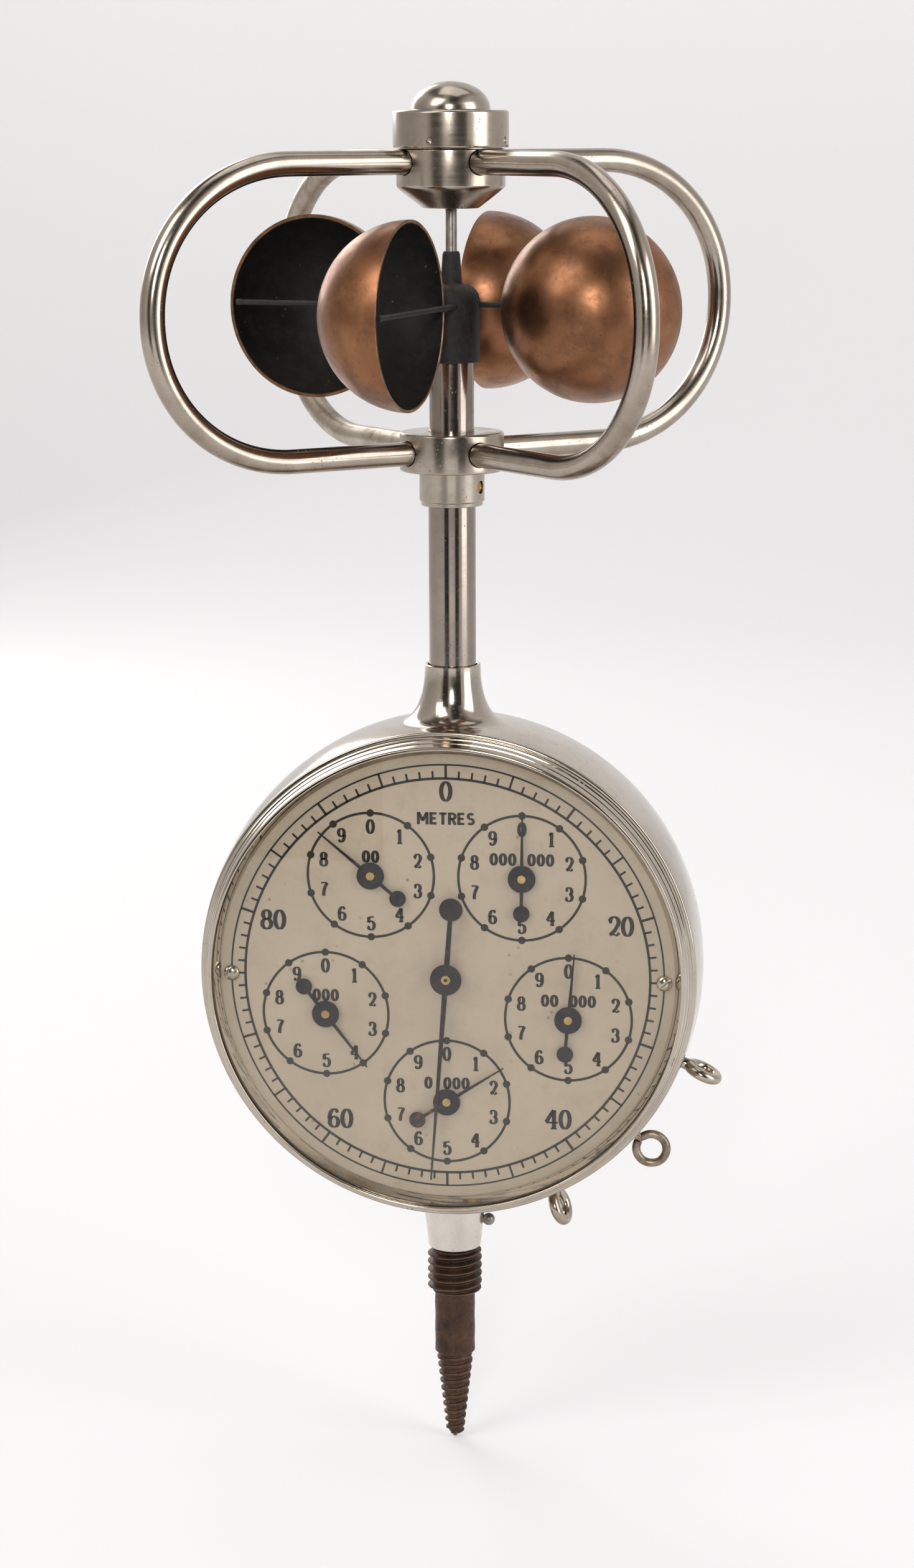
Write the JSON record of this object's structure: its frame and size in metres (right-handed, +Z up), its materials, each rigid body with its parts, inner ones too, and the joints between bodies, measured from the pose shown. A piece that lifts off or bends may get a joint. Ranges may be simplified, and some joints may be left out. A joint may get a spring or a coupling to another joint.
{
  "type": "cup anemometer",
  "caption": "Hand anemometer: hemispherical cups on a vertical spindle inside round wire guards, over a drum case with a glazed counter dial, start and stop lever and a post screw below.",
  "frame": {"origin": "on the spindle axis at the lower end of the tapered socket, where the post screw leaves it", "axes": "+Z up along the spindle; the dial faces -Y; +X to the right of the dial"},
  "size_m": [0.0944, 0.0933, 0.2433],
  "materials": {
    "nickel_plate": "polished nickel plate, warm with age, specked and worn at edges",
    "satin_nickel": "satin nickel plate",
    "coppered_cup": "satin copper-brown with patina",
    "black_lacquer": "matt black lacquer",
    "grey_steel": "dull grey steel",
    "brass": "turned brass",
    "blued_steel": "dark blued steel",
    "silvered_dial": "matte silvered dial, yellowed",
    "clear_glass": "clear flat glass",
    "rusted_iron": "dark brown rusted iron"
  },
  "bodies": {
    "frame": {"case_body": "nickel_plate", "rear_cover": "nickel_plate", "bezel_ring": "nickel_plate", "reflector_flange": "nickel_plate", "dial_glass": "clear_glass", "dial_plate": "silvered_dial", "dial_screw_left": "nickel_plate", "dial_screw_right": "nickel_plate", "front_plate": "brass", "middle_plate": "brass", "back_plate": "brass", "foot_bearing": "brass", "lower_socket": "satin_nickel", "post_screw": "rusted_iron", "socket_lock_screw": "grey_steel", "stem_tube": "nickel_plate", "stem_bush": "brass", "lower_collar": "nickel_plate", "collar_set_screw": "brass", "guard_bow_1": "nickel_plate", "guard_bow_2": "nickel_plate", "guard_bow_3": "nickel_plate", "guard_bow_4": "nickel_plate", "upper_hub": "nickel_plate", "top_pivot_bush": "brass", "top_cap": "nickel_plate", "guide_eye_upper": "nickel_plate", "guide_eye_lower": "nickel_plate"},
    "rotor": {"spindle": "grey_steel", "rotor_hub": "black_lacquer", "cup_arm_1": "black_lacquer", "cup_arm_2": "black_lacquer", "cup_arm_3": "black_lacquer", "cup_arm_4": "black_lacquer", "cup_1": "coppered_cup", "cup_2": "coppered_cup", "cup_3": "coppered_cup", "cup_4": "coppered_cup"},
    "clutch": {"clutch_sleeve": "grey_steel"},
    "worm": {"worm_quill": "grey_steel"},
    "lever": {"start_stop_lever": "grey_steel"},
    "worm_wheel": {"worm_wheel": "brass"},
    "centre": {"centre_wheel": "brass", "main_hand": "blued_steel"},
    "counter_hundreds": {"wheel_hundreds": "brass", "hand_hundreds": "blued_steel"},
    "counter_thousands": {"wheel_thousands": "brass", "hand_thousands": "blued_steel"},
    "counter_ten_thousands": {"wheel_ten_thousands": "brass", "hand_ten_thousands": "blued_steel"},
    "counter_hundred_thousands": {"wheel_hundred_thousands": "brass", "hand_hundred_thousands": "blued_steel"},
    "counter_millions": {"wheel_millions": "brass", "hand_millions": "blued_steel"},
    "idler_1": {"idler_1": "brass"},
    "idler_2": {"idler_2": "brass"},
    "idler_3": {"idler_3": "brass"},
    "idler_4": {"idler_4": "brass"},
    "idler_5": {"idler_5": "brass"}
  },
  "joints": [
    {"name": "rotor_spin", "type": "hinge", "parent": "frame", "child": "rotor", "pos_m": [0, 0, 0.169], "axis": [0, 0, 1], "continuous": true},
    {"name": "clutch_slide", "type": "slide", "parent": "rotor", "child": "clutch", "axis": [0, 0, 1], "range_m": [-0.00115, 0.00115]},
    {"name": "worm_spin", "type": "hinge", "parent": "frame", "child": "worm", "pos_m": [0, 0, 0.06427], "axis": [0, 0, 1], "continuous": true},
    {"name": "lever_swing", "type": "hinge", "parent": "frame", "child": "lever", "pos_m": [-0.0275, 0.004, 0.07515], "axis": [0, 1, 0], "range_deg": [-2.3, 2.3]},
    {"name": "worm_wheel_spin", "type": "hinge", "parent": "frame", "child": "worm_wheel", "pos_m": [-0.0078, 0, 0.06427], "axis": [0, 1, 0], "continuous": true},
    {"name": "centre_spin", "type": "hinge", "parent": "frame", "child": "centre", "pos_m": [0, 0, 0.05325], "axis": [0, 1, 0], "continuous": true},
    {"name": "hundreds_spin", "type": "hinge", "parent": "frame", "child": "counter_hundreds", "pos_m": [-0.0132, 0, 0.07141], "axis": [0, 1, 0], "continuous": true},
    {"name": "thousands_spin", "type": "hinge", "parent": "frame", "child": "counter_thousands", "pos_m": [-0.02135, 0, 0.04631], "axis": [0, 1, 0], "continuous": true},
    {"name": "ten_thousands_spin", "type": "hinge", "parent": "frame", "child": "counter_ten_thousands", "pos_m": [0, 0, 0.0308], "axis": [0, 1, 0], "continuous": true},
    {"name": "hundred_thousands_spin", "type": "hinge", "parent": "frame", "child": "counter_hundred_thousands", "pos_m": [0.02135, 0, 0.04631], "axis": [0, 1, 0], "continuous": true},
    {"name": "millions_spin", "type": "hinge", "parent": "frame", "child": "counter_millions", "pos_m": [0.0132, 0, 0.07141], "axis": [0, 1, 0], "continuous": true},
    {"name": "idler_1_spin", "type": "hinge", "parent": "frame", "child": "idler_1", "pos_m": [-0.00341, 0, 0.05794], "axis": [0, 1, 0], "continuous": true},
    {"name": "idler_2_spin", "type": "hinge", "parent": "frame", "child": "idler_2", "pos_m": [-0.01561, 0, 0.06399], "axis": [0, 1, 0], "continuous": true},
    {"name": "idler_3_spin", "type": "hinge", "parent": "frame", "child": "idler_3", "pos_m": [-0.01504, 0, 0.04173], "axis": [0, 1, 0], "continuous": true},
    {"name": "idler_4_spin", "type": "hinge", "parent": "frame", "child": "idler_4", "pos_m": [0.00631, 0, 0.03538], "axis": [0, 1, 0], "continuous": true},
    {"name": "idler_5_spin", "type": "hinge", "parent": "frame", "child": "idler_5", "pos_m": [0.01894, 0, 0.05373], "axis": [0, 1, 0], "continuous": true}
  ],
  "couplings": [
    {"joint": "worm_spin", "follows": "rotor_spin", "ratio": 1},
    {"joint": "worm_wheel_spin", "follows": "rotor_spin", "ratio": 0.033333},
    {"joint": "centre_spin", "follows": "rotor_spin", "ratio": -0.0041667},
    {"joint": "idler_1_spin", "follows": "rotor_spin", "ratio": 0.001087},
    {"joint": "hundreds_spin", "follows": "rotor_spin", "ratio": -0.00041667},
    {"joint": "idler_2_spin", "follows": "rotor_spin", "ratio": 0.000075758},
    {"joint": "thousands_spin", "follows": "rotor_spin", "ratio": -0.000041667},
    {"joint": "idler_3_spin", "follows": "rotor_spin", "ratio": 0.0000075758},
    {"joint": "ten_thousands_spin", "follows": "rotor_spin", "ratio": -0.0000041667},
    {"joint": "idler_4_spin", "follows": "rotor_spin", "ratio": 0.00000075758},
    {"joint": "hundred_thousands_spin", "follows": "rotor_spin", "ratio": -0.00000041667},
    {"joint": "idler_5_spin", "follows": "rotor_spin", "ratio": 0.000000075758},
    {"joint": "millions_spin", "follows": "rotor_spin", "ratio": -0.000000041667},
    {"joint": "clutch_slide", "follows": "lever_swing", "m_per_rad": -0.0275}
  ]
}
